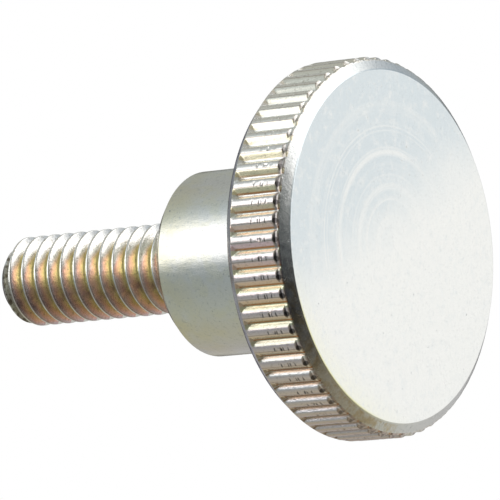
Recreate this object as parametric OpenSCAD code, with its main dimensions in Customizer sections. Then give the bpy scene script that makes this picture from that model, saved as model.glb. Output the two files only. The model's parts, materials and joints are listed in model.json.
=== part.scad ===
// Knurled thumb screw of the high form, M4 x 10, turned in one piece: a thin disc with a straight
// knurl, a plain collar behind it and a threaded shank. It stands on the flat face of its disc,
// which lies at z = 0 round the origin, and its axis runs up the z axis to the tip of the shank.

/* [Head] */
// Diameter of the disc over the ridges of the knurl
head_d = 16; // [14:0.1:20]
// Thickness of the disc, both chamfers included
head_t = 3.1; // [2.8:0.05:4]
// How far the rim beside the face stays below the ridges
rim_drop = 0.12; // [0.06:0.01:0.14]
// Width of that rim along the axis
rim_w = 0.1; // [0.05:0.01:0.2]
// How far the chamfer round the face reaches in from the rim
face_chamfer_r = 0.48; // [0.3:0.02:0.8]
// How far the chamfer round the face reaches back along the axis
face_chamfer_z = 0.35; // [0.25:0.01:0.5]
// How far the chamfer behind the knurl reaches in from the ridges
back_chamfer_r = 0.4; // [0.25:0.05:0.8]
// How far the chamfer behind the knurl reaches along the axis
back_chamfer_z = 0.48; // [0.3:0.01:0.6]

/* [Knurl] */
// Number of straight grooves pressed round the disc
groove_n = 64; // [58:1:72]
// Width of the flat land left on each ridge
land_w = 0.27; // [0.22:0.01:0.32]
// Angle between the two flanks of a groove
groove_angle = 94; // [88:1:100]
// How far a groove leans, which makes one flank steep and the other gentle
groove_lean = 10; // [0:1:12]
// Length of the step in which the ridges end, above the rim
step_w = 0.08; // [0.04:0.01:0.15]
// How deep the grooves still are at both ends, where they break into the chamfers
end_notch = 0.04; // [0.02:0.01:0.06]
// Slope of the front ends of the grooves, which cross the rim, against the axis
front_run_out_angle = 25; // [20:1:40]
// Slope of the back ends of the grooves against the axis
back_run_out_angle = 28; // [24:1:45]

/* [Collar] */
// Diameter of the plain collar
collar_d = 7.9; // [6:0.1:10]
// Length of the collar, from the disc to the shoulder that seats on the work
collar_l = 6.65; // [4:0.05:9]
// Size of the broken edge round the shoulder
collar_edge = 0.4; // [0.1:0.05:0.5]

/* [Thread] */
// Outside diameter of the M4 thread as cut, a little under its nominal 4 mm
thread_d = 3.9; // [3.84:0.01:3.98]
// Length of the shank, from the shoulder to the tip
thread_l = 10; // [6:0.5:20]
// Size of the 45 degree chamfer that starts the thread at the tip
tip_chamfer = 0.6; // [0.4:0.05:0.8]

/* [Hidden] */
$fn = 96;

head_r = head_d / 2;
rim_r = head_r - rim_drop;
collar_r = collar_d / 2;
thread_r = thread_d / 2;

// Heights along the axis, from the face of the disc to the tip of the shank
step_z = face_chamfer_z + rim_w;
knurl_end_z = head_t - back_chamfer_z;
shoulder_z = head_t + collar_l;
tip_z = shoulder_z + thread_l;

// Section of one groove: a leaning V, as wide as the knurl's pitch leaves beside the land
groove_pitch = PI * head_d / groove_n;
steep_slope = tan(groove_angle / 2 - groove_lean);
gentle_slope = tan(groove_angle / 2 + groove_lean);
groove_depth = (groove_pitch - land_w) / (steep_slope + gentle_slope);
root_r = head_r - groove_depth;

// The root of a groove lies nearer to its steep side than the middle between two lands
root_shift = groove_depth * (steep_slope - gentle_slope) / 2;
root_turn = root_shift / head_r * 180 / PI;

// Cutting tools reach this far past the surfaces that they cut
spare = 0.05;

// Heights at which the ends of a groove reach a radius
function front_end_z(r) = face_chamfer_z + (rim_r - end_notch - r) / tan(front_run_out_angle);
function back_end_z(r) = knurl_end_z - (head_r - end_notch - r) / tan(back_run_out_angle);

// Half section of the turned blank, from the centre of the face round to the centre of the tip
module blank_section() {
    polygon([
        [0, 0],
        [rim_r - face_chamfer_r, 0],
        [rim_r, face_chamfer_z],
        [rim_r, step_z],
        [head_r, step_z + step_w],
        [head_r, knurl_end_z],
        [head_r - back_chamfer_r, head_t],
        [collar_r, head_t],
        [collar_r, shoulder_z - collar_edge],
        [collar_r - collar_edge, shoulder_z],
        [thread_r, shoulder_z],
        [thread_r, tip_z - tip_chamfer],
        [thread_r - tip_chamfer, tip_z],
        [0, tip_z],
    ]);
}

// One straight groove as long as the disc is thick, with its root on the x axis side and its
// gentle flank towards y
module groove() {
    over_r = head_r + spare;
    over_depth = over_r - root_r;
    translate([0, 0, -spare])
        linear_extrude(head_t + 2 * spare)
            polygon([
                [root_r, 0],
                [over_r, -over_depth * steep_slope],
                [over_r, over_depth * gentle_slope],
            ]);
}

// Half section of the ring that the knurling roll reaches, which gives each groove sloped ends
module roll_section() {
    low_r = root_r - spare;
    high_r = head_r + spare;
    polygon([
        [high_r, front_end_z(high_r)],
        [low_r, front_end_z(low_r)],
        [low_r, back_end_z(low_r)],
        [high_r, back_end_z(high_r)],
    ]);
}

// All grooves of the knurl, with their sloped ends. A land, not a groove, lies on each half axis
module knurl_grooves() {
    intersection() {
        rotate_extrude() roll_section();
        for (i = [0 : groove_n - 1])
            rotate([0, 0, (i + 0.5) * 360 / groove_n + root_turn]) groove();
    }
}

// The screw: the turned blank with the knurl rolled into the disc
module thumb_screw() {
    color("#c9c8bd")
        difference() {
            rotate_extrude() blank_section();
            knurl_grooves();
        }
}

thumb_screw();
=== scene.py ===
# %% [markdown]
# # A knurled thumb screw, in cells
# The real screw is one piece: a bar is turned to a disc, a collar and a shank, a roll presses a
# straight knurl into the disc's edge, and a thread is rolled on the shank. Then it is zinc
# plated and dipped in a yellow chromate, which leaves a thin film with rainbow tints.
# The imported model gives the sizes. The script makes one mesh of it, with its true grooves and a
# true helix, paints it with procedural metal, and sets up a small studio.

import json
import math
import random
from types import SimpleNamespace

import bmesh
import bpy
from mathutils import Matrix, Vector


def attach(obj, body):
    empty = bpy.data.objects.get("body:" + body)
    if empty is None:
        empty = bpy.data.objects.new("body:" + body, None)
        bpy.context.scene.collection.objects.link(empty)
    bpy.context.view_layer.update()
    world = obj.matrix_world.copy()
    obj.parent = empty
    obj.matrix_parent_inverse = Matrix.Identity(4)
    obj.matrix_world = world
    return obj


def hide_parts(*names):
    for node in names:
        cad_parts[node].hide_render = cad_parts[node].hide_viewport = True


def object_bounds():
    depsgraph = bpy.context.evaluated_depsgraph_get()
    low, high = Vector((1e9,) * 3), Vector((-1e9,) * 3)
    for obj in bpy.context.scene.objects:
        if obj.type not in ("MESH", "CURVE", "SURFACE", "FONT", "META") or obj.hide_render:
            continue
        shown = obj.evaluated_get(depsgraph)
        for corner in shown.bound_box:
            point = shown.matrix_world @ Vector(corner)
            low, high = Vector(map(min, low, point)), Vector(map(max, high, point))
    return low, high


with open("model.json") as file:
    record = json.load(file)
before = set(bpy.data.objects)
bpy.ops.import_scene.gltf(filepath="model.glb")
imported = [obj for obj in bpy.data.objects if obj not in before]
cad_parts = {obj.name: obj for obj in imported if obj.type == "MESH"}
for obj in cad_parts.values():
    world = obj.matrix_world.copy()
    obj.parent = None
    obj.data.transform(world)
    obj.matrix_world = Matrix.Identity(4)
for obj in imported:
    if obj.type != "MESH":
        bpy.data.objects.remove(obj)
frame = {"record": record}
cad_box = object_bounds()
MM = 0.001
mounts = {mount["name"]: mount for mount in frame["record"]["mounts"]}
print("CAD box, mm:", [[round(v / MM, 2) for v in corner] for corner in cad_box])

# %% [markdown]
# ## Sizes
# The frame knows the overall size, the thread and the shoulder. The other sizes repeat the
# driving dimensions of the part, in metres, so that the mesh lies on the solid. One of them
# differs: the back ends of the grooves slope ten degrees more steeply than in the solid.

# %% Sizes of the turned form
head_r = cad_box[1][0]
tip_z = cad_box[1][2]
thread_r = mounts["thread"]["dims"]["r_mm"] * MM
shoulder_z = mounts["shoulder"]["pos_m"][2]
head_t = 3.1 * MM
collar_r = 3.95 * MM
face_chamfer_r = 0.48 * MM
face_chamfer_z = 0.35 * MM
back_chamfer_r = 0.4 * MM
back_chamfer_z = 0.48 * MM
collar_edge = 0.4 * MM
tip_chamfer = 0.6 * MM
print("head radius", head_r, "thread radius", thread_r, "shoulder at", shoulder_z, "tip at", tip_z)

# %% Sizes of the knurl
groove_n = 64
land_w = 0.27 * MM
groove_angle = math.radians(94)
groove_lean = math.radians(10)
rim_drop = 0.12 * MM
rim_w = 0.1 * MM
end_notch = 0.04 * MM
step_w = 0.08 * MM
front_run_out_angle = math.radians(25)
back_run_out_angle = math.radians(38)

groove_pitch = 2 * math.pi * head_r / groove_n
steep_slope = math.tan(groove_angle / 2 - groove_lean)
gentle_slope = math.tan(groove_angle / 2 + groove_lean)
groove_depth = (groove_pitch - land_w) / (steep_slope + gentle_slope)
steep_w = groove_depth * steep_slope
gentle_w = groove_depth * gentle_slope
root_r = head_r - groove_depth
rim_r = head_r - rim_drop
step_z = face_chamfer_z + rim_w
knurl_end_z = head_t - back_chamfer_z
print("knurl pitch %.3f mm, depth %.3f mm" % (groove_pitch / MM, groove_depth / MM))

# %% [markdown]
# ## The turned profile
# A lathe part is a half section swept round its axis. Real turned edges are never razor sharp,
# so each corner of the section becomes a small arc, and light runs along it as a thin bright
# line. A bevel modifier could do it, but would round the creases of the knurl too.

# %% Round the corners of a section
arc_steps = 3


def rounded(section):
    """The (r, z) points of a section, with an arc of each corner's radius in its place."""
    points = []
    for i, (r, z, radius) in enumerate(section):
        here = Vector((r, z))
        if radius == 0 or i in (0, len(section) - 1):
            points.append(here)
            continue
        before = (Vector(section[i - 1][:2]) - here).normalized()
        after = (Vector(section[i + 1][:2]) - here).normalized()
        half = before.angle(after) / 2
        centre = here + (before + after).normalized() * (radius / math.sin(half))
        start = here + before * (radius / math.tan(half)) - centre
        end = here + after * (radius / math.tan(half)) - centre
        turn = start.angle_signed(end)
        for k in range(arc_steps + 1):
            step = start.copy()
            step.rotate(Matrix.Rotation(-turn * k / arc_steps, 2))
            points.append(centre + step)
    return points


print("a rounded corner has", arc_steps + 1, "points")

# %% [markdown]
# ## The knurl
# The roll presses 64 V grooves along the disc's edge, and the metal that it pushes aside rises
# into the ridges between them. It never reaches the narrow rim beside the face, so the ridges
# end there in a small step, while the grooves run through it into the chamfer. Behind, the
# grooves run out on a slope. The two flanks differ, since the roll leans a little.
# Booleans could cut the grooves, but leave hard edges. Here a height rule makes them: at each
# place the metal stands as high as the higher of the groove's flank and its sloped end, but no
# higher than the turned blank.

# %% Rounded creases
edge_soft = 0.02 * MM
root_soft = 0.05 * MM


def soft_max(a, b, soft):
    """The larger of a and b, with the crease between them rounded over about soft."""
    return (a + b + math.sqrt((a - b) ** 2 + soft ** 2)) / 2


def soft_min(a, b, soft):
    """The smaller of a and b, with the crease between them rounded over about soft."""
    return -soft_max(-a, -b, soft)


print("creases rounded over %.2f mm, roots over %.2f mm" % (edge_soft / MM, root_soft / MM))

# %% Height of the metal round the disc
steep_tilt = math.radians(90) - groove_angle / 2 + groove_lean
gentle_tilt = math.radians(90) - groove_angle / 2 - groove_lean
ridge_round = land_w / (math.tan(steep_tilt / 2) + math.tan(gentle_tilt / 2))
ridge_top = gentle_w + ridge_round * math.tan(gentle_tilt / 2)


def blank_r(z):
    """Radius that the ridges reach at a height: rim, step, knurled part and back chamfer."""
    chamfer = rim_r - face_chamfer_r * (1 - z / face_chamfer_z)
    step = rim_r + rim_drop * max(z - step_z, 0) / step_w
    back = head_r - back_chamfer_r * (z - knurl_end_z) / back_chamfer_z
    front = soft_min(chamfer, step, edge_soft)
    return soft_min(front, soft_min(back, head_r, edge_soft), edge_soft)


def groove_r(offset):
    """Radius of the plain knurl at a distance round from a groove's root."""
    past_top = offset - ridge_top
    if -ridge_round * math.sin(gentle_tilt) < past_top < ridge_round * math.sin(steep_tilt):
        return head_r - ridge_round + math.sqrt(ridge_round ** 2 - past_top ** 2)
    if past_top > 0:
        offset -= groove_pitch
    return root_r + soft_max(offset / gentle_slope, -offset / steep_slope, root_soft)


def knurl_r(z, offset):
    """Radius of the finished disc at a height and at a distance round from a groove's root."""
    front = rim_r - end_notch - (z - face_chamfer_z) * math.tan(front_run_out_angle)
    back = head_r - end_notch - (knurl_end_z - z) * math.tan(back_run_out_angle)
    run_out = soft_max(soft_max(front, back, edge_soft), root_r, edge_soft)
    return soft_min(blank_r(z), soft_max(groove_r(offset), run_out, edge_soft), edge_soft)


print("land at %.3f mm, root at %.3f mm, rim at %.3f mm" % (
    knurl_r(head_t / 2, ridge_top) / MM,
    knurl_r(head_t / 2, 0) / MM,
    knurl_r(face_chamfer_z + rim_w / 2, ridge_top) / MM))

# %% [markdown]
# ## Columns and rows of the knurl
# A grid shows a crease only where it has points on both sides of it. Evenly spaced points would
# do, but several times as many. So the columns lie close together at the roots and over the
# ridges, and the rows at the rim, the step, the marks of the roll and the sloped ends.

# %% Columns round the disc
steep_shares = [-0.4, -0.16]
gentle_shares = [0.08, 0.2, 0.5]
ridge_steps = 8
ridge_tilts = [-gentle_tilt + (gentle_tilt + steep_tilt) * k / (ridge_steps - 1)
               for k in range(ridge_steps)]
groove_offsets = (
    [steep_w * share for share in steep_shares]
    + [0]
    + [gentle_w * share for share in gentle_shares]
    + [ridge_top + ridge_round * math.sin(tilt) for tilt in ridge_tilts]
)
root_shift = (steep_w - gentle_w) / 2
columns = [((groove + 0.5) * 2 * math.pi / groove_n + (root_shift + offset) / head_r,
            groove, offset)
           for groove in range(groove_n)
           for offset in groove_offsets]
print(len(columns), "columns,", len(groove_offsets), "to a groove")

# %% Rows across the disc's edge
run_out_l = (groove_depth - end_notch) / math.tan(back_run_out_angle)
notch_z = face_chamfer_z * (1 - end_notch / face_chamfer_r)
crease_gap = 0.02 * MM
row_gap = 0.03 * MM
marks_start_z = 0.79 * MM
marks_end_z = 1.73 * MM


def spread(start, end, count):
    """Count evenly spaced values from start to end, both included."""
    return [start + (end - start) * k / (count - 1) for k in range(count)]


row_heights = (
    spread(notch_z - row_gap, face_chamfer_z, 4)
    + spread(face_chamfer_z + row_gap, step_z - crease_gap, 3)
    + spread(step_z, step_z + step_w, 4)
    + spread(step_z + step_w + crease_gap, marks_start_z - 0.05 * MM, 3)
    + spread(marks_start_z, marks_end_z, 19)
    + spread(marks_end_z + 0.12 * MM, knurl_end_z - run_out_l - row_gap, 3)
    + spread(knurl_end_z - run_out_l, knurl_end_z - crease_gap, 5)
    + spread(knurl_end_z, knurl_end_z + 2 * crease_gap, 3)
)
print(len(row_heights), "rows from z = %.3f mm" % (row_heights[0] / MM),
      "to %.3f mm" % (row_heights[-1] / MM))

# %% [markdown]
# ## The skin of the head
# Columns run round the axis and rows run from the face to the shoulder. A cylinder with a
# Boolean would give the same form, but a grid keeps every edge loop in place, so the grooves,
# their sloped ends and the small arcs shade cleanly.

# %% Turned sections in front of and behind the knurl
face_edge_r = rim_r - face_chamfer_r
back_edge_r = head_r - back_chamfer_r
face_section = rounded([
    (0, 0, 0),
    (face_edge_r, 0, 0.05 * MM),
    (rim_r, face_chamfer_z, 0),
])[:-1]
collar_section = rounded([
    (head_r, knurl_end_z, 0),
    (back_edge_r, head_t, 0.08 * MM),
    (collar_r, head_t, 0.06 * MM),
    (collar_r, shoulder_z - collar_edge, 0.1 * MM),
    (collar_r - collar_edge, shoulder_z, 0.05 * MM),
    (thread_r, shoulder_z, 0),
])[1:-1]
print(len(face_section), "points before the knurl,", len(collar_section), "behind it")

# %% Rings that keep the long plain stretches even
longest_on_face = 1 * MM
longest_on_collar = 1.2 * MM


def with_rings(points, longest):
    """The points, with more between two that lie further apart than longest."""
    result = [points[0]]
    for point in points[1:]:
        last = result[-1]
        count = max(1, math.ceil((point - last).length / longest))
        result += [last.lerp(point, k / count) for k in range(1, count + 1)]
    return result


face_rings = with_rings(face_section, longest_on_face)[1:]
collar_rings = with_rings(collar_section, longest_on_collar)
print(len(face_rings), "rings on the face,", len(collar_rings), "on the collar")

# %% [markdown]
# ## The marks of the roll
# A worn roll bruises every land in a few places, at nearly the same heights all round. A bump
# in the finish could hint at that, but here small bell shaped hollows sink the mesh itself. A
# seeded random shift in place and depth keeps them from looking copied.

# %% Marks along each land
random.seed(4)
mark_heights = [1.6 * MM, 1.27 * MM, 1.15 * MM, 0.92 * MM]
mark_depths = [0.05 * MM, 0.06 * MM, 0.05 * MM, 0.04 * MM]
mark_size = 0.07 * MM
marks = [[(z + random.uniform(-0.02, 0.02) * MM,
           ridge_top + random.uniform(-0.05, 0.04) * MM,
           depth * random.uniform(0.4, 1.3))
          for z, depth in zip(mark_heights, mark_depths)]
         for groove in range(groove_n)]


def mark_depth(groove, z, offset):
    """How far the marks of the lands on both sides of a groove sink the metal at a place."""
    sunk = 0
    for land, from_root in ((groove, offset), (groove - 1, offset + groove_pitch)):
        for mark_z, mark_offset, depth in marks[land]:
            away = ((z - mark_z) ** 2 + (from_root - mark_offset) ** 2) / mark_size ** 2
            sunk += depth * math.exp(-2 * away)
    return sunk


print(sum(len(land_marks) for land_marks in marks), "marks")

# %% Head mesh
head = bmesh.new()


def add_ring(radii, z):
    """One row of the grid, with a radius for each column."""
    return [head.verts.new((r * math.cos(angle), r * math.sin(angle), z))
            for r, (angle, _, _) in zip(radii, columns)]


def join_rings(ring_a, ring_b):
    """Quads between two rows, facing out where ring_b lies further along the skin."""
    for i in range(len(ring_a)):
        nxt = (i + 1) % len(ring_a)
        head.faces.new((ring_a[i], ring_a[nxt], ring_b[nxt], ring_b[i]))


rings = [add_ring([r] * len(columns), z) for r, z in face_rings]
rings += [add_ring([knurl_r(z, offset) - mark_depth(groove, z, offset)
                    for _, groove, offset in columns], z)
          for z in row_heights]
rings += [add_ring([r] * len(columns), z) for r, z in collar_rings]
for ring_a, ring_b in zip(rings, rings[1:]):
    join_rings(ring_a, ring_b)
centre = head.verts.new((0, 0, 0))
for i, vert in enumerate(rings[0]):
    head.faces.new((centre, rings[0][(i + 1) % len(rings[0])], vert))
print(len(head.verts), "points,", len(head.faces), "faces on the head and collar")

# %% [markdown]
# ## The thread
# A rolled thread is a groove with 60 degree flanks on a helix, here with a pitch of 0.7 mm and
# right-handed. A screw modifier could sweep it, but a strip of columns is simpler to trim: each
# column climbs the axis, and the last column joins the first one turn higher.
# Near the shoulder the rolling dies stop: the crests sink and the groove grows shallow, down to
# the plain blank that the thread was rolled from, which is as thick as the flanks are half way.

# %% Section of the thread
thread_pitch = 0.7 * MM
flank_tan = math.tan(math.radians(30))
crest_half = thread_pitch / 16
thread_depth = 0.61343 * thread_pitch
thread_soft = 0.03 * MM


def thread_cut(u):
    """Depth of a full thread at a distance u along the axis from the middle of a crest."""
    flank = (abs(u) - crest_half) / flank_tan
    return soft_min(soft_max(flank, 0, thread_soft), thread_depth, 2 * thread_soft)


half_thread = [0.02, 0.04, 0.055, 0.075, 0.12, 0.18, 0.24, 0.28, 0.315]
thread_steps = [-v * MM for v in reversed(half_thread)] + [v * MM for v in half_thread]
thread_steps = [-thread_pitch / 2] + thread_steps
print("thread depth %.3f mm," % (thread_depth / MM), len(thread_steps), "points to a pitch")

# %% Thread mesh
first_crest_z = shoulder_z + 0.208 * MM
start_z = first_crest_z - 3 * thread_pitch
turns = math.ceil((tip_z - start_z) / thread_pitch) + 1
run_out_start = shoulder_z - 0.1 * MM
run_out_end = shoulder_z + 1.1 * MM
blank_shank_r = thread_r - 0.325 * thread_pitch
thread_columns = 96
thread = bmesh.new()


def smooth_step(value, start, end):
    """0 at start, 1 at end, with an S curve between them."""
    t = min(max((value - start) / (end - start), 0), 1)
    return t * t * (3 - 2 * t)


def thread_point(column, turn, step):
    """Point of the thread on one column, a number of turns up and a step off the crest."""
    angle = 2 * math.pi * column / thread_columns
    z = start_z + thread_pitch * (turn + column / thread_columns) + step
    full_r = thread_r - thread_cut(step)
    r = blank_shank_r + (full_r - blank_shank_r) * smooth_step(z, run_out_start, run_out_end)
    cone = thread_r - tip_chamfer + (tip_z - z)
    r = soft_min(r, cone, thread_soft)
    return thread.verts.new((r * math.cos(angle), r * math.sin(angle), z))


strips = [[thread_point(column, turn, step) for turn in range(turns) for step in thread_steps]
          for column in range(thread_columns)]
one_turn_up = strips[0][len(thread_steps):]
for here, beside in zip(strips, strips[1:] + [one_turn_up]):
    for (a, b), (d, c) in zip(zip(here, here[1:]), zip(beside, beside[1:])):
        thread.faces.new((a, d, c, b))
print(turns, "turns,", len(thread.faces), "faces before trimming")

# %% [markdown]
# ## One skin
# The thread is trimmed flat at the shoulder and at the tip, then head and thread are joined. The
# flat ring between them and the tip are filled. Two meshes pushed into each other would look
# the same, but this gives one watertight skin, as the real screw is one piece of metal.

# %% Trim the thread and join it to the head
trim_tolerance = 1e-7
same_height = 1e-6


def trim(mesh, z, above):
    """Cut the mesh at a height and throw away what lies above or below it."""
    bmesh.ops.bisect_plane(
        mesh, geom=mesh.verts[:] + mesh.edges[:] + mesh.faces[:], dist=trim_tolerance,
        plane_co=(0, 0, z), plane_no=(0, 0, 1), clear_outer=above, clear_inner=not above)


def rim_edges(mesh, z):
    """The open edges of a mesh at one height."""
    return [edge for edge in mesh.edges
            if edge.is_boundary and all(abs(vert.co.z - z) < same_height for vert in edge.verts)]


trim(thread, shoulder_z, above=False)
trim(thread, tip_z, above=True)
bmesh.ops.triangle_fill(thread, edges=rim_edges(thread, tip_z), use_beauty=True)
thread_mesh = bpy.data.meshes.new("thread")
thread.to_mesh(thread_mesh)
head.from_mesh(thread_mesh)
bmesh.ops.triangle_fill(head, edges=rim_edges(head, shoulder_z), use_beauty=True)
bmesh.ops.recalc_face_normals(head, faces=head.faces)
print("open edges:", sum(edge.is_boundary for edge in head.edges),
      "volume %.1f mm3" % (head.calc_volume() / MM ** 3))

# %% [markdown]
# ## One piece, three finishes
# The plating is the same all over, but its film dries differently on the plain surfaces, in
# the knurl and in the thread. One material could tell them apart, but three are easier to read,
# so each face gets one by the place where it lies. Faces that meet at a shallow angle shade
# smoothly, and the others keep a sharp edge.

# %% Which finish each face has
FACE, KNURL, THREAD = range(3)
knurl_from_r = face_edge_r + 0.1 * MM
thread_to_r = thread_r + 0.01 * MM
sharp_angle = math.radians(32)
for face in head.faces:
    middle = face.calc_center_median()
    r = math.hypot(middle.x, middle.y)
    face.smooth = True
    if middle.z > shoulder_z - same_height and r < thread_to_r:
        face.material_index = THREAD
    elif row_heights[0] < middle.z < row_heights[-1] and r > knurl_from_r:
        face.material_index = KNURL
    else:
        face.material_index = FACE
for edge in head.edges:
    edge.smooth = not edge.is_manifold or edge.calc_face_angle() < sharp_angle
print("faces on plain surfaces, knurl and thread:",
      [sum(face.material_index == finish for face in head.faces) for finish in range(3)])

# %% The finished piece
screw_mesh = bpy.data.meshes.new("turned_screw")
head.to_mesh(screw_mesh)
screw = bpy.data.objects.new("turned_screw", screw_mesh)
bpy.context.scene.collection.objects.link(screw)
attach(screw, "root")
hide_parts("thumb_screw")
print(sum(len(face.vertices) - 2 for face in screw_mesh.polygons), "triangles in the screw")

# %% [markdown]
# ## Shader nodes in short words
# Every finish below is a network of shader nodes. Written out node by node it would be long, so
# a few helpers add a node and fill its inputs, do sums, fade between two values, look a colour
# up in a ramp or lay coats of colour over each other. A finish then reads like a recipe. Most of
# its values are masks, which are 1 where a coat lies and 0 where it doesn't.

# %% Nodes and sums
def connect(tree, socket, value):
    """Give an input a value, or link it if the value is another node's output."""
    if isinstance(value, bpy.types.NodeSocket):
        tree.links.new(value, socket)
    else:
        socket.default_value = value


def add_node(tree, kind, inputs):
    """A new shader node with its inputs filled."""
    made = tree.nodes.new("ShaderNode" + kind)
    for name, value in inputs.items():
        connect(tree, made.inputs[name], value)
    return made


def calc(tree, operation, *values):
    """Result of a Math node."""
    made = add_node(tree, "Math", dict(enumerate(values)))
    made.operation = operation
    return made.outputs[0]


def times(tree, first, *others):
    """Product of values, so of masks the place where all of them are 1."""
    for other in others:
        first = calc(tree, "MULTIPLY", first, other)
    return first


def outside(tree, mask, share):
    """1 outside a mask, and less by a share inside it."""
    return calc(tree, "MULTIPLY_ADD", mask, -share, 1)


print("sums ready: calc, times, outside")

# %% Masks
def fade(tree, value, start, end):
    """0 at start, 1 at end, with an S curve between them."""
    made = add_node(tree, "MapRange", {"Value": value, "From Min": start, "From Max": end})
    made.interpolation_type = "SMOOTHSTEP"
    return made.outputs["Result"]


def hump(tree, value, middle, width):
    """1 at the middle, fading to 0 at a distance of width on both sides."""
    away = calc(tree, "ABSOLUTE", calc(tree, "SUBTRACT", value, middle))
    return fade(tree, away, width, 0)


def noise(tree, point, size, detail=2, roughness=0.5):
    """Cloudy values from 0 to 1 with spots of about one size."""
    made = add_node(tree, "TexNoise", {
        "Vector": point, "Scale": 1 / size, "Detail": detail, "Roughness": roughness})
    return made.outputs["Fac"]


def grainy(tree, point, size):
    """Noise with fine ragged edges, for grain and dirt."""
    return noise(tree, point, size, detail=4, roughness=0.7)


print("masks ready: fade, hump, noise, grainy")

# %% Colours
def ramp(tree, value, stops):
    """Colour looked up in a ramp of (share, colour) stops."""
    made = add_node(tree, "ValToRGB", {"Fac": value})
    elements = made.color_ramp.elements
    elements.remove(elements[1])
    elements[0].position = stops[0][0]
    elements[0].color = (*stops[0][1], 1)
    for share, color in stops[1:]:
        elements.new(share).color = (*color, 1)
    return made.outputs["Color"]


def paint(tree, color, *coats):
    """A colour with coats laid over it in turn, each a (mask, colour) pair."""
    for mask, coat in coats:
        made = add_node(tree, "MixRGB", {"Fac": mask, "Color1": color, "Color2": coat})
        color = made.outputs["Color"]
    return color


print("colours ready: ramp, paint")

# %% [markdown]
# ## Where a shaded point lies
# The film follows the form of the screw, so a finish asks how high a point lies, how far from
# the axis and how far round. An unwrapped texture could hold that, but object coordinates need
# no unwrapping and stay sharp at any distance.

# %% Places on the screw
def places(tree):
    """Coordinates of the shaded point: its height, its distance from the axis and its turn."""
    point = add_node(tree, "TexCoord", {}).outputs["Object"]
    x, y, z = add_node(tree, "SeparateXYZ", {"Vector": point}).outputs
    squares = calc(tree, "ADD", times(tree, x, x), times(tree, y, y))
    angle = calc(tree, "ARCTAN2", y, x)
    return SimpleNamespace(
        point=point, x=x, y=y, z=z,
        r=calc(tree, "SQRT", squares),
        turn=calc(tree, "DIVIDE", angle, 2 * math.pi))


print("places ready: -0.25 of a turn is the side towards -y")

# %% [markdown]
# ## Bare plated metal
# The plating copies the fine roughness of the steel below it. One value for the gloss would look
# like chrome, so small clouds vary it and raise a relief of about a hundredth of a millimetre.

# %% Metal and its satin skin
satin_least = 0.14
satin_range = 0.2
satin_relief = 0.7
satin_depth = 0.012 * MM


def new_metal(name, roughness):
    """A bare metal finish, put in the next material slot of the screw."""
    material = bpy.data.materials.new(name)
    material.use_nodes = True
    shader = material.node_tree.nodes["Principled BSDF"]
    shader.inputs["Metallic"].default_value = 1
    shader.inputs["Roughness"].default_value = roughness
    screw_mesh.materials.append(material)
    return material.node_tree, shader


def satin(tree, shader, point, size, squeeze=1, rougher=0, depth=satin_depth, base=None):
    """Uneven gloss and relief; a squeeze below 1 draws its clouds out along the axis."""
    squeezed = add_node(tree, "VectorMath", {0: point, 1: (1, 1, squeeze)})
    squeezed.operation = "MULTIPLY"
    mottle = grainy(tree, squeezed.outputs["Vector"], size)
    gloss = calc(tree, "MULTIPLY_ADD", mottle, satin_range, satin_least)
    connect(tree, shader.inputs["Roughness"], calc(tree, "ADD", gloss, rougher))
    bump = add_node(tree, "Bump", {"Height": mottle, "Strength": satin_relief, "Distance": depth})
    if base is not None:
        connect(tree, bump.inputs["Normal"], base)
    connect(tree, shader.inputs["Normal"], bump.outputs["Normal"])


print("satin relief %.3f mm deep" % (satin_depth / MM))

# %% [markdown]
# ## The plain turned surfaces
# Zinc plating copies the turned steel below it, so the face keeps the rings that the tool left.
# The face is painted blue on one side, a painted reflection, and keeps the warm colour of the
# zinc on the other. Coloured cards could give that reflection instead, but these tints are
# painted by position and stay with the screw when it is turned. In one sector the tool's rings
# are painted paler than the blue, a painted highlight along the rings.

# %% Tints of the flat face
tree, shader = new_metal("turned_zinc", 0.25)
at = places(tree)
warm_zinc = (0.895, 0.9, 0.87, 1)
blue_reflection_zinc = (0.7, 0.76, 0.78, 1)
straw_zinc = (0.9, 0.9, 0.79, 1)
cloudy_zinc = (0.83, 0.85, 0.835, 1)
blue_slant = 0.4
blue_wander = 1.8 * MM
pale_share = 0.75

clouds = noise(tree, at.point, 1.3 * MM)
# Painted reflection: the face is painted blue towards +x.
side = calc(tree, "SUBTRACT", at.x, times(tree, at.y, blue_slant))
side = calc(tree, "ADD", side, times(tree, clouds, blue_wander))
blue_reflection_side = fade(tree, side, 0.2 * MM, 4.6 * MM)
# The rings are the tool's; painting them paler in one sector and in patches is a painted
# highlight.
ring_point = add_node(tree, "CombineXYZ", {"X": at.r}).outputs["Vector"]
rings = noise(tree, ring_point, 0.7 * MM, detail=4, roughness=0.6)
in_rings = fade(tree, at.r, 6.6 * MM, 5.2 * MM)
highlight_sector = fade(tree, calc(tree, "SUBTRACT", at.x, at.y), -2 * MM, 3 * MM)
ring_patches = fade(tree, noise(tree, at.point, 2.4 * MM), 0.25, 0.5)
highlit_rings = times(tree, fade(tree, rings, 0.46, 0.62), in_rings, ring_patches, highlight_sector)
blue_reflection = times(tree, blue_reflection_side, outside(tree, highlit_rings, pale_share))
x_plus_y = calc(tree, "ADD", at.x, at.y)
straw_side = times(tree, fade(tree, at.r, 5.6 * MM, 7.7 * MM),
                   fade(tree, x_plus_y, -6.5 * MM, -10.5 * MM))
face_clouds = fade(tree, grainy(tree, at.point, 0.5 * MM), 0.46, 0.8)
face_color = paint(
    tree, warm_zinc,
    (blue_reflection, blue_reflection_zinc),
    (straw_side, straw_zinc),
    (face_clouds, cloudy_zinc))
print("flat face:", len(tree.nodes), "nodes so far")

# %% [markdown]
# ## The film behind the face
# The collar has blotches where the liquid dried, and an aged yellow towards the shoulder. The
# chamfer behind the knurl is violet. The one beside the face is paler, with brown spots at one
# end, and a thin yellow line follows part of its inner edge. Each tint could be a group of
# faces, but coats laid on by height and radius fade into each other, as a film does.

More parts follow.
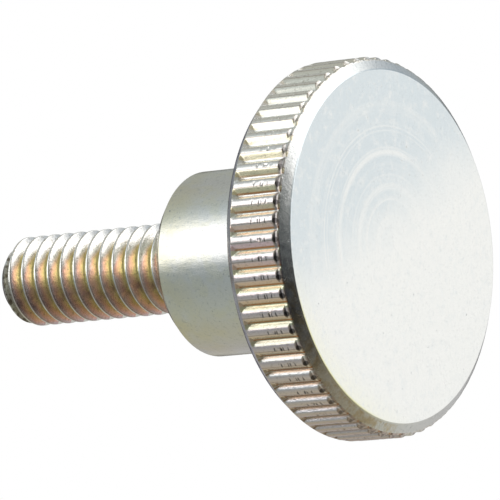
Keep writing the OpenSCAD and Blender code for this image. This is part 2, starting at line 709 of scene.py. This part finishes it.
# %% Tints of the collar and the chamfers
collar_zinc = (0.75, 0.755, 0.74, 1)
yellow_zinc = (0.76, 0.755, 0.68, 1)
aged_zinc = (0.76, 0.73, 0.58, 1)
violet_zinc = (0.5, 0.5, 0.58, 1)
head_zinc = (0.86, 0.87, 0.85, 1)

blotches = fade(tree, noise(tree, at.point, 0.8 * MM, detail=3), 0.45, 0.65)
shoulder_film = times(tree, fade(tree, at.z, 6.5 * MM, 9.6 * MM),
                      fade(tree, clouds, 0.3, 0.6))
on_back_chamfer = fade(tree, at.z, head_t - 0.01 * MM, head_t - 0.03 * MM)
near_face = fade(tree, at.z, 0.5 * MM, 0.4 * MM)
side_color = paint(
    tree, collar_zinc,
    (blotches, yellow_zinc),
    (shoulder_film, aged_zinc),
    (on_back_chamfer, violet_zinc),
    (near_face, head_zinc))
print("collar and chamfers:", len(tree.nodes), "nodes so far")

# %% Tints round the edge of the face
edge_zinc = (0.8, 0.78, 0.5, 1)
brown_zinc = (0.7, 0.6, 0.42, 1)

on_face = fade(tree, at.z, 0.06 * MM, 0.02 * MM)
edge_film = times(tree, hump(tree, at.r, 7.38 * MM, 0.09 * MM),
                  fade(tree, at.x, -1 * MM, -3 * MM),
                  fade(tree, at.y, -1.5 * MM, -4 * MM))
on_face_chamfer = times(tree, fade(tree, at.z, 0.03 * MM, 0.06 * MM),
                        fade(tree, at.z, 0.45 * MM, 0.4 * MM))
brown_end = fade(tree, x_plus_y, -7.5 * MM, -9 * MM)
brown_spots = times(tree, fade(tree, grainy(tree, at.point, 0.5 * MM), 0.35, 0.65),
                    on_face_chamfer, brown_end)
color = paint(
    tree, side_color,
    (on_face, face_color),
    (edge_film, edge_zinc),
    (brown_spots, brown_zinc))
print("edge of the face:", len(tree.nodes), "nodes so far")

# %% Grain, specks and gloss of the turned surfaces
grain_zinc = (0.5, 0.52, 0.52, 1)
speck_zinc = (0.42, 0.43, 0.42, 1)
grain_lost_on_face = 0.6

grain = fade(tree, grainy(tree, at.point, 0.14 * MM), 0.52, 0.8)
grain = times(tree, grain, outside(tree, on_face, grain_lost_on_face))
specks = fade(tree, noise(tree, at.point, 0.25 * MM), 0.72, 0.8)
color = paint(tree, color, (grain, grain_zinc), (specks, speck_zinc))
connect(tree, shader.inputs["Base Color"], color)
satin(tree, shader, at.point, 0.3 * MM, squeeze=0.4)
print("turned zinc:", len(tree.nodes), "nodes")

# %% [markdown]
# ## The knurl's film
# In the grooves the chromate dries thicker, so they show the colours of a thin film: olive,
# brown, mauve, with an orange line where the liquid stood in the root. The gentle flank keeps
# a deeper colour than the steep flank and the ridge, and all three drift round the disc with
# the thickness of the film.
# Each flank could be a group of faces, but a groove's own coordinate gives softer edges: it
# counts grooves round the axis, and what is left after the whole grooves runs from 0 to 1
# across each one, from its root over the gentle flank, the ridge and the steep flank.

# %% Zones across a groove
tree, shader = new_metal("knurled_zinc", 0.22)
at = places(tree)
root_share = 0.5 + root_shift / groove_pitch
across = calc(tree, "FRACT", calc(tree, "MULTIPLY_ADD", at.turn, groove_n, -root_share))
gentle_end = gentle_w / groove_pitch
steep_start = 1 - steep_w / groove_pitch
ridge_share = ridge_top / groove_pitch

gentle = times(tree, fade(tree, across, 0.06, 0.1),
               fade(tree, across, gentle_end, gentle_end - 0.12))
steep = fade(tree, across, steep_start - 0.04, steep_start + 0.06)
root_pool = fade(tree, across, 0.08, 0.05)
pale_flank = calc(tree, "MAXIMUM", steep, root_pool)
# Painted shade: a thin grey line along the crease where the gentle flank meets the ridge.
crease_line = hump(tree, across, gentle_end - 0.01, 0.04)
low_down = fade(tree, at.r, 7.9 * MM, 7.85 * MM)
# Turns below -0.2, round from about -y to -x: where the orange root line and the painted shade of
# the pockets and pits lie.
low_turn_side = fade(tree, at.turn, -0.16, -0.2)
root_line = times(tree, hump(tree, across, 0.11, 0.1), low_down, low_turn_side)
root_shade = times(tree, fade(tree, across, 0.86, 0.97),
                   fade(tree, at.turn, -0.31, -0.35))
print("gentle flank up to %.2f, steep flank from %.2f" % (gentle_end, steep_start))

# %% Film in the grooves and on the ridges
orange_film = (0.62, 0.28, 0.1, 1)
crease_shade = (0.5, 0.42, 0.36, 1)
root_brown = (0.55, 0.38, 0.26, 1)
film_wander = 0.04
film_start = 0.48

clouds = noise(tree, at.point, 1.5 * MM)
film_place = calc(tree, "ADD", at.turn, film_start)
film_place = calc(tree, "MULTIPLY_ADD", clouds, film_wander, film_place)
gentle_film = ramp(tree, film_place, [
    (0.05, (0.78, 0.68, 0.6)),
    (0.18, (0.85, 0.72, 0.58)),
    (0.23, (0.92, 0.7, 0.56)),
    (0.25, (0.93, 0.7, 0.76)),
    (0.265, (0.93, 0.7, 0.76)),
    (0.28, (0.96, 0.74, 0.62)),
    (0.3, (0.92, 0.84, 0.56)),
    (0.34, (0.9, 0.82, 0.6)),
    (0.4, (0.9, 0.87, 0.78)),
])
ridge_film = ramp(tree, film_place, [
    (0.05, (0.7, 0.6, 0.56)),
    (0.12, (0.76, 0.67, 0.65)),
    (0.17, (0.77, 0.67, 0.67)),
    (0.24, (0.77, 0.68, 0.68)),
    (0.32, (0.84, 0.82, 0.8)),
    (0.4, (0.95, 0.92, 0.86)),
])
steep_film = ramp(tree, film_place, [
    (0.05, (0.68, 0.6, 0.6)),
    (0.1, (0.82, 0.78, 0.8)),
    (0.14, (0.9, 0.88, 0.88)),
    (0.185, (0.66, 0.66, 0.52)),
    (0.22, (0.84, 0.84, 0.62)),
    (0.26, (0.88, 0.9, 0.76)),
    (0.3, (0.86, 0.88, 0.86)),
    (0.4, (0.9, 0.9, 0.88)),
])
film_color = paint(
    tree, ridge_film,
    (gentle, gentle_film),
    (pale_flank, steep_film),
    (root_line, orange_film),
    (crease_line, crease_shade),
    (root_shade, root_brown))
print("film of the knurl:", len(tree.nodes), "nodes so far")

# %% [markdown]
# ## Painted shade on the knurl
# The pockets under the step of the ridges and the roll's marks are painted nearly black, as
# painted shade in these hollows. The step and the sloped ends are painted darker, a painted
# shade that dims their reflections, and the sloped ends get brown mottling too. A baked map
# could place it, but masks by height, turn and groove do so without one, and noise makes their
# edges ragged. On one side the roll also bruised the steep flanks, which a second bump hollows
# a little.

# %% Pockets under the step
step_middle_z = 0.44 * MM
ragged_lift = 0.6
pocket_least = 0.4
pocket_lost_low = 0.5

ragged = noise(tree, at.point, 0.2 * MM, detail=3)
# Painted shade: the pockets under the step are painted nearly black.
pocket = times(tree, hump(tree, at.z, step_middle_z, 0.16 * MM),
               hump(tree, across, 0.46, 0.24),
               calc(tree, "ADD", ragged, ragged_lift))
pocket = fade(tree, pocket, 0.2, 0.5)
pocket_side = calc(tree, "MULTIPLY_ADD", low_turn_side, 1 - pocket_least, pocket_least)
pocket_low_end = fade(tree, at.turn, -0.36, -0.43)
pocket = times(tree, pocket, pocket_side, outside(tree, pocket_low_end, pocket_lost_low))
# Painted shade: over part of the turn the rim and step are painted darker, which dims their
# reflection of the softbox.
painted_rim_shade = times(tree, hump(tree, at.z, step_middle_z, 0.18 * MM),
                 fade(tree, at.turn, -0.28, -0.25),
                 fade(tree, at.turn, -0.14, -0.17))
print("pockets of grime:", len(tree.nodes), "nodes so far")

# %% Pits in the marks, mottling and shade on the sloped ends
jitter = 0.12 * MM
ragged_z = calc(tree, "ADD", at.z, calc(tree, "MULTIPLY_ADD", ragged, jitter, -jitter / 2))
# Painted shade: the roll's marks are painted as dark pits.
pits = 0
for height in mark_heights:
    pits = calc(tree, "MAXIMUM", pits, hump(tree, ragged_z, height, 0.05 * MM))
pits = times(tree, pits, hump(tree, across, ridge_share - 0.06, 0.2),
             noise(tree, at.point, 0.3 * MM))
pits = times(tree, fade(tree, pits, 0.08, 0.24), low_turn_side,
             fade(tree, at.turn, -0.43, -0.38))
run_out = times(tree, fade(tree, at.z, 2.1 * MM, 2.35 * MM), low_down)
# Brown mottling and painted shade: the sloped ends are painted darker over part of the turn.
run_out_mottle_and_shade = times(tree, run_out, fade(tree, ragged, 0.3, 0.65),
                     fade(tree, at.turn, -0.13, -0.18))
print("grime of the knurl:", len(tree.nodes), "nodes so far")

# %% Colour and gloss of the knurl
rim_shade_color = (0.36, 0.33, 0.32, 1)
run_out_brown = (0.5, 0.44, 0.34, 1)
shade_black = (0.1, 0.09, 0.09, 1)
grain_brown = (0.4, 0.34, 0.28, 1)
run_out_shade_share = 0.6
painted_shade_share = 0.9
run_out_rougher = 0.22
steep_rougher = 0.02 * MM
bruise_depth = 0.26 * MM

# Pockets and pits together: painted shade, painted nearly black.
painted_shade = calc(tree, "MAXIMUM", pocket, pits)
grain = fade(tree, grainy(tree, at.point, 0.12 * MM), 0.52, 0.8)
color = paint(
    tree, film_color,
    (painted_rim_shade, rim_shade_color),
    (times(tree, run_out_mottle_and_shade, run_out_shade_share), run_out_brown),
    (times(tree, painted_shade, painted_shade_share), shade_black),
    (grain, grain_brown))
connect(tree, shader.inputs["Base Color"], color)
bruised = times(tree, steep, fade(tree, at.turn, -0.36, -0.4))
hollow = add_node(tree, "Bump", {
    "Height": across, "Strength": 1, "Distance": times(tree, bruised, -bruise_depth)})
relief = calc(tree, "ADD", steep, bruised)
satin(tree, shader, at.point, 0.2 * MM, squeeze=0.5,
      rougher=times(tree, run_out, run_out_rougher),
      depth=calc(tree, "MULTIPLY_ADD", relief, steep_rougher, satin_depth),
      base=hollow.outputs["Normal"])
print("knurled zinc:", len(tree.nodes), "nodes")

# %% [markdown]
# ## The thread's film
# The thread holds the most chromate, so it looks golden. The film's colour runs across each
# groove from olive over gold to orange and pink, and thins out to bare silver on the crest. A
# dark line beside each crest and a darker band just before the root are painted shade, where a
# crest hides the groove beyond it. One side of the shank is painted near white, a painted
# highlight, and another side carries a dark streak, a painted dark reflection. Plain rings of
# colour would miss the helix, so the distance of a point from the crest of its own turn picks
# the colour, and clouds shift it, so that the bands wander a little.

# %% Film across a turn of the thread
tree, shader = new_metal("thread_zinc", 0.3)
at = places(tree)
film_wander = 0.24
highlight_slant = 0.35
highlight_turn = -0.23

from_crest = calc(tree, "DIVIDE", calc(tree, "SUBTRACT", at.z, first_crest_z), thread_pitch)
from_crest = calc(tree, "FRACT", calc(tree, "SUBTRACT", from_crest, at.turn))
clouds = noise(tree, at.point, 0.5 * MM, detail=3)
shifted = calc(tree, "SUBTRACT", from_crest, film_wander / 2)
shifted = calc(tree, "MULTIPLY_ADD", clouds, film_wander, shifted)
# The darker stop at 0.4 is painted shade, at the edge where a crest hides the root beyond it.
gold_film = ramp(tree, shifted, [
    (0.3, (0.92, 0.9, 0.78)),
    (0.4, (0.62, 0.58, 0.42)),
    (0.46, (0.92, 0.9, 0.56)),
    (0.54, (0.86, 0.8, 0.4)),
    (0.63, (0.86, 0.7, 0.32)),
    (0.73, (0.92, 0.58, 0.36)),
    (0.82, (0.92, 0.55, 0.46)),
    (0.91, (0.74, 0.6, 0.64)),
])
# Painted highlight: one side of the shank is painted near white.
highlight_side = calc(tree, "ADD", at.turn, highlight_turn)
highlight_side = fade(tree, calc(tree, "MULTIPLY_ADD", shifted, highlight_slant, highlight_side), -0.17, -0.1)
silver = fade(tree, calc(tree, "PINGPONG", from_crest, 0.5), 0.07, 0.045)
# Painted shade: a dark line beside each crest, where it hides the groove beyond.
dark_line = hump(tree, from_crest, 0.05, 0.035)
# Painted dark reflection: a dark streak down one side of the shank.
dark_side = times(tree, hump(tree, at.turn, -0.325, 0.08), fade(tree, clouds, 0.2, 0.7))
print("film of the thread:", len(tree.nodes), "nodes so far")

# %% Worn ends of the thread
chamfered = fade(tree, at.z, tip_z - 0.66 * MM, tip_z - 0.5 * MM)
on_tip = fade(tree, at.z, tip_z - 0.1 * MM, tip_z - 0.02 * MM)
at_shoulder = fade(tree, at.z, shoulder_z + 0.9 * MM, shoulder_z + 0.4 * MM)
ends = calc(tree, "SUBTRACT", calc(tree, "MAXIMUM", chamfered, at_shoulder), on_tip)
pits = fade(tree, noise(tree, at.point, 0.22 * MM), 0.5, 0.62)
print("ends of the thread:", len(tree.nodes), "nodes so far")

# %% Colour and gloss of the thread
highlight_zinc = (0.96, 0.94, 0.9, 1)
crest_silver = (0.9, 0.9, 0.86, 1)
crest_shade_color = (0.16, 0.13, 0.1, 1)
dark_reflection_color = (0.3, 0.2, 0.22, 1)
tip_zinc = (0.62, 0.62, 0.6, 1)
pit_soil = (0.14, 0.12, 0.08, 1)
thread_brown = (0.3, 0.24, 0.16, 1)
line_share = 0.85
dark_share = 0.7
pit_share = 0.8

grain = fade(tree, grainy(tree, at.point, 0.12 * MM), 0.5, 0.8)
color = paint(
    tree, gold_film,
    (highlight_side, highlight_zinc),
    (silver, crest_silver),
    (times(tree, dark_line, line_share), crest_shade_color),
    (times(tree, dark_side, dark_share), dark_reflection_color),
    (chamfered, tip_zinc),
    (times(tree, pits, ends, pit_share), pit_soil),
    (grain, thread_brown))
connect(tree, shader.inputs["Base Color"], color)
satin(tree, shader, at.point, 0.16 * MM)
print("thread zinc:", len(tree.nodes), "nodes")

# %% [markdown]
# ## The studio
# Bare metal shows the room more than a colour of its own. A small shiny object is usually set
# in a tent of white cloth and grey card, and the tent makes the picture. An image of a studio
# round the world could stand in for the tent, but nothing in it could be moved.
# The world is white to the camera and to reflections, and a plain level of light to the rest.

# %% World
plain_white = (1, 1, 1, 1)
fill_strength = 0.7
world = bpy.data.worlds.new("studio")
bpy.context.scene.world = world
world.use_nodes = True
tree = world.node_tree
tree.nodes.clear()
paths = add_node(tree, "LightPath", {}).outputs
seen = calc(tree, "MAXIMUM", paths["Is Camera Ray"], paths["Is Glossy Ray"])
seen = calc(tree, "MAXIMUM", seen, paths["Is Transmission Ray"])
fill_light = add_node(tree, "Background", {"Color": plain_white, "Strength": fill_strength})
white_room = add_node(tree, "Background", {"Color": plain_white, "Strength": 1})
room = add_node(tree, "MixShader", {
    0: seen, 1: fill_light.outputs["Background"], 2: white_room.outputs["Background"]})
add_node(tree, "OutputWorld", {"Surface": room.outputs["Shader"]})
print("world:", len(tree.nodes), "nodes")

# %% [markdown]
# ## Cards
# The tent is a set of curved cards, each a piece of a sphere round the screw. Area lamps could
# stand in for them, but their light has hard edges: a card is graded along its length by a
# ramp, as a real sheet lit from one end is. The cards glow, and only reflections see them.
# Where two overlap, the one in front stands a little nearer.

# %% Form and paper of a card
tent_r = 500 * MM
card_step = 6


def card_mesh(name, azimuths, elevations, radius):
    """A grid on a sphere, between two azimuths and two elevations in degrees."""
    start, end = azimuths
    low, high = elevations
    across_n = math.ceil((end - start) / card_step)
    up_n = math.ceil((high - low) / card_step)
    points = []
    shares = []
    for i in range(across_n + 1):
        azimuth = math.radians(start + (end - start) * i / across_n)
        for j in range(up_n + 1):
            elevation = math.radians(low + (high - low) * j / up_n)
            points.append((radius * math.cos(azimuth) * math.cos(elevation),
                           radius * math.sin(azimuth) * math.cos(elevation),
                           radius * math.sin(elevation)))
            shares.append((i / across_n, j / up_n))
    column = up_n + 1
    faces = [(i * column + j, (i + 1) * column + j, (i + 1) * column + j + 1, i * column + j + 1)
             for i in range(across_n) for j in range(up_n)]
    mesh = bpy.data.meshes.new(name)
    mesh.from_pydata(points, [], faces)
    layer = mesh.uv_layers.new(name="along")
    for loop in mesh.loops:
        layer.data[loop.index].uv = shares[loop.vertex_index]
    return mesh


def card_paper(name, azimuths, stops):
    """Paper that glows, graded by (azimuth, colour) stops."""
    start, end = azimuths
    paper = bpy.data.materials.new(name)
    paper.use_nodes = True
    tree = paper.node_tree
    tree.nodes.clear()
    place = add_node(tree, "TexCoord", {}).outputs["UV"]
    along = add_node(tree, "SeparateXYZ", {"Vector": place}).outputs["X"]
    color = ramp(tree, along, [((azimuth - start) / (end - start), color)
                               for azimuth, color in stops])
    glow = add_node(tree, "Emission", {"Color": color, "Strength": 1})
    add_node(tree, "OutputMaterial", {"Surface": glow.outputs["Emission"]})
    return paper


print("cards stand", round(tent_r / MM), "mm from the screw")

# %% Put up a card
def card(name, azimuths, elevations, stops, depth=1):
    """A graded card of the tent, which only reflections see."""
    mesh = card_mesh(name, azimuths, elevations, tent_r * depth)
    mesh.materials.append(card_paper(name, azimuths, stops))
    made = bpy.data.objects.new(name, mesh)
    bpy.context.scene.collection.objects.link(made)
    made.visible_camera = False
    made.visible_diffuse = False
    made.visible_shadow = False
    made.visible_transmission = False
    return made


print("card ready")

# %% [markdown]
# ## Cards round the screw
# Most of the tent is grey cloth, bluer on one side and warmer on the other. The softbox makes
# the bright band along the collar, and fades out on both sides so that the band has soft edges.
# A dark strip opposite draws a thin dark line along the outline, which a white room would hide.

# %% Cards above
softbox = (1.75, 1.75, 1.75)
black_cloth = (0.05, 0.04, 0.04)
warm_cloth = (0.46, 0.45, 0.36)
blue_cloth = (0.33, 0.37, 0.38)
ceiling_cloth = (0.33, 0.34, 0.31)
cards = [
    card("wall", (-180, 180), (8, 66), [
        (-180, warm_cloth),
        (-150, (0.43, 0.455, 0.405)),
        (-126, (0.37, 0.4, 0.38)),
        (-104, blue_cloth),
        (-20, (0.5, 0.55, 0.57)),
        (-14, (0.48, 0.52, 0.52)),
        (0, (0.46, 0.48, 0.45)),
        (20, (0.42, 0.43, 0.41)),
        (60, (0.4, 0.42, 0.4)),
        (80, (0.33, 0.36, 0.37)),
        (95, (0.56, 0.56, 0.57)),
        (118, (0.53, 0.52, 0.52)),
        (135, (0.47, 0.45, 0.43)),
        (160, (0.47, 0.46, 0.38)),
        (180, warm_cloth),
    ]),
    card("softbox", (-100, -14), (9, 66), [
        (-100, blue_cloth),
        (-92, (0.37, 0.41, 0.42)),
        (-86, (0.66, 0.69, 0.68)),
        (-80, softbox),
        (-46, softbox),
        (-40, (1.25, 1.27, 1.25)),
        (-34, (0.86, 0.91, 0.92)),
        (-26, (0.6, 0.67, 0.69)),
        (-14, (0.48, 0.52, 0.52)),
    ], depth=0.98),
    card("silhouette_strip", (68, 112), (19, 60), [
        (68, (0.33, 0.36, 0.37)),
        (78, black_cloth),
        (102, black_cloth),
        (112, (0.5, 0.5, 0.5)),
    ], depth=0.98),
    card("ceiling", (-180, 180), (66, 90), [
        (-180, ceiling_cloth),
        (180, ceiling_cloth),
    ]),
]
print(len(cards), "cards above")

# %% [markdown]
# ## Cards below
# The face, the chamfer beside it and the sloped ends of the grooves show what lies low in the
# tent. The low wall and the table are bright on one side and dark on the other, so the chamfer
# turns from white to nearly black on its way round. The low screens hide the bright part from
# the sloped ends of the grooves, which would shine like mirrors.

# %% Cards beside and below
bright_paper = (1.7, 1.7, 1.7)
half_bright_paper = (1.3, 1.3, 1.3)
screen_cloth = (0.5, 0.48, 0.44)
shade_cloth = (0.38, 0.43, 0.48)
corner_cloth = (0.55, 0.54, 0.53)
table_top = (0.07, 0.065, 0.06)
cards += [
    card("low_wall", (-180, 62), (-52, 8), [
        (-180, (0.2, 0.18, 0.13)),
        (-150, (0.22, 0.22, 0.18)),
        (-30, (0.3, 0.3, 0.26)),
        (-18, (0.4, 0.4, 0.4)),
        (-6, half_bright_paper),
        (0, bright_paper),
        (42, bright_paper),
        (50, (0.85, 0.88, 0.9)),
        (56, (0.5, 0.54, 0.58)),
        (62, shade_cloth),
    ]),
    card("low_screen", (-40, 12), (-38, 6), [
        (-40, (0.3, 0.3, 0.26)),
        (-24, (0.42, 0.41, 0.38)),
        (12, screen_cloth),
    ], depth=0.97),
    card("low_screen_end", (12, 34), (-26, 6), [
        (12, screen_cloth),
        (34, screen_cloth),
    ], depth=0.97),
    card("low_side", (62, 118), (-14, 8), [
        (62, shade_cloth),
        (72, (0.36, 0.4, 0.44)),
        (95, (0.46, 0.46, 0.47)),
        (118, corner_cloth),
    ]),
    card("low_corner", (118, 180), (-52, 8), [
        (118, corner_cloth),
        (131, (0.55, 0.55, 0.52)),
        (138, (0.45, 0.44, 0.37)),
        (145, (0.31, 0.29, 0.23)),
        (154, (0.28, 0.25, 0.18)),
        (165, (0.22, 0.19, 0.14)),
        (180, (0.17, 0.16, 0.12)),
    ]),
    card("table", (-180, 180), (-90, -52), [
        (-180, table_top),
        (-162, (0.03, 0.03, 0.032)),
        (-145, (0.015, 0.017, 0.022)),
        (-118, (0.015, 0.018, 0.024)),
        (-95, (0.03, 0.036, 0.042)),
        (-67, (0.055, 0.06, 0.065)),
        (-43, (0.1, 0.11, 0.11)),
        (-24, (0.13, 0.14, 0.14)),
        (-14, (0.38, 0.38, 0.38)),
        (-5, half_bright_paper),
        (3, bright_paper),
        (60, bright_paper),
        (100, (0.6, 0.6, 0.6)),
        (150, (0.3, 0.28, 0.22)),
        (180, table_top),
    ]),
]
print(len(cards), "cards in all")

# %% [markdown]
# ## Key light
# The cards act on reflections only, so one lamp gives the matt floor its shadow. A sun would
# draw a hard shadow, and a wide round lamp draws a soft one. Reflections don't see it, so that
# it leaves no bright spot in the metal.

# %% Key light
key_data = bpy.data.lights.new("key_light", "AREA")
key_data.energy = 0.12
key_data.shape = "DISK"
key_data.size = 120 * MM
key_light = bpy.data.objects.new("key_light", key_data)
key_light.location = (-90 * MM, -60 * MM, 180 * MM)
key_light.rotation_euler = (-key_light.location).to_track_quat("-Z", "Y").to_euler()
key_light.visible_glossy = False
bpy.context.scene.collection.objects.link(key_light)
print("key light", round(key_light.location.length / MM), "mm away")

# %% [markdown]
# ## The floor
# The screw stands on the face of its head on a pale floor, which catches its soft shadow. The
# camera looks from below, where a plain sheet would hide the screw, so its underside is clear.

# %% Floor
floor_gap = 0.05 * MM
floor_half = 1
pale_paper = (0.9, 0.9, 0.9, 1)
floor_corners = [(-floor_half, -floor_half), (floor_half, -floor_half),
                 (floor_half, floor_half), (-floor_half, floor_half)]
floor_mesh = bpy.data.meshes.new("floor")
floor_mesh.from_pydata([(x, y, -floor_gap) for x, y in floor_corners], [], [(0, 1, 2, 3)])
paper = bpy.data.materials.new("floor")
paper.use_nodes = True
tree = paper.node_tree
shader = tree.nodes["Principled BSDF"]
shader.inputs["Base Color"].default_value = pale_paper
from_below = add_node(tree, "NewGeometry", {}).outputs["Backfacing"]
clear = add_node(tree, "BsdfTransparent", {}).outputs["BSDF"]
either = add_node(tree, "MixShader", {0: from_below, 1: shader.outputs["BSDF"], 2: clear})
connect(tree, tree.nodes["Material Output"].inputs["Surface"], either.outputs["Shader"])
floor_mesh.materials.append(paper)
floor = bpy.data.objects.new("floor", floor_mesh)
bpy.context.scene.collection.objects.link(floor)
floor.visible_diffuse = False
floor.visible_glossy = False
floor.visible_transmission = False
floor.visible_shadow = False
print("floor", floor_half * 2, "m wide")

# %% [markdown]
# ## The camera
# A long lens from a quarter of a metre away looks at the head from below and beside it, and is
# rolled so that the screw lies across the picture. A target to track would leave the roll open,
# so the place is built from a direction, a roll, a distance and the point that it aims at.

# %% Camera
azimuth = math.radians(-0.79)
elevation = math.radians(-35.64)
roll = math.radians(-95.668)
distance = 260.05 * MM
aim = Vector((0.4385, -3.4967, 4.8769)) * MM
camera_data = bpy.data.cameras.new("camera")
camera_data.lens = 449.12
camera_data.sensor_width = 36
camera_data.clip_start = 10 * MM
camera = bpy.data.objects.new("camera", camera_data)
camera.matrix_world = (
    Matrix.Rotation(azimuth, 4, "Z")
    @ Matrix.Translation(aim)
    @ Matrix.Rotation(math.radians(90) - elevation, 4, "X")
    @ Matrix.Rotation(roll, 4, "Z")
    @ Matrix.Translation((0, 0, distance))
)
bpy.context.scene.collection.objects.link(camera)
bpy.context.scene.camera = camera
bpy.context.scene.view_settings.view_transform = "Standard"
print("camera at", [round(v / MM, 1) for v in camera.matrix_world.translation], "mm")
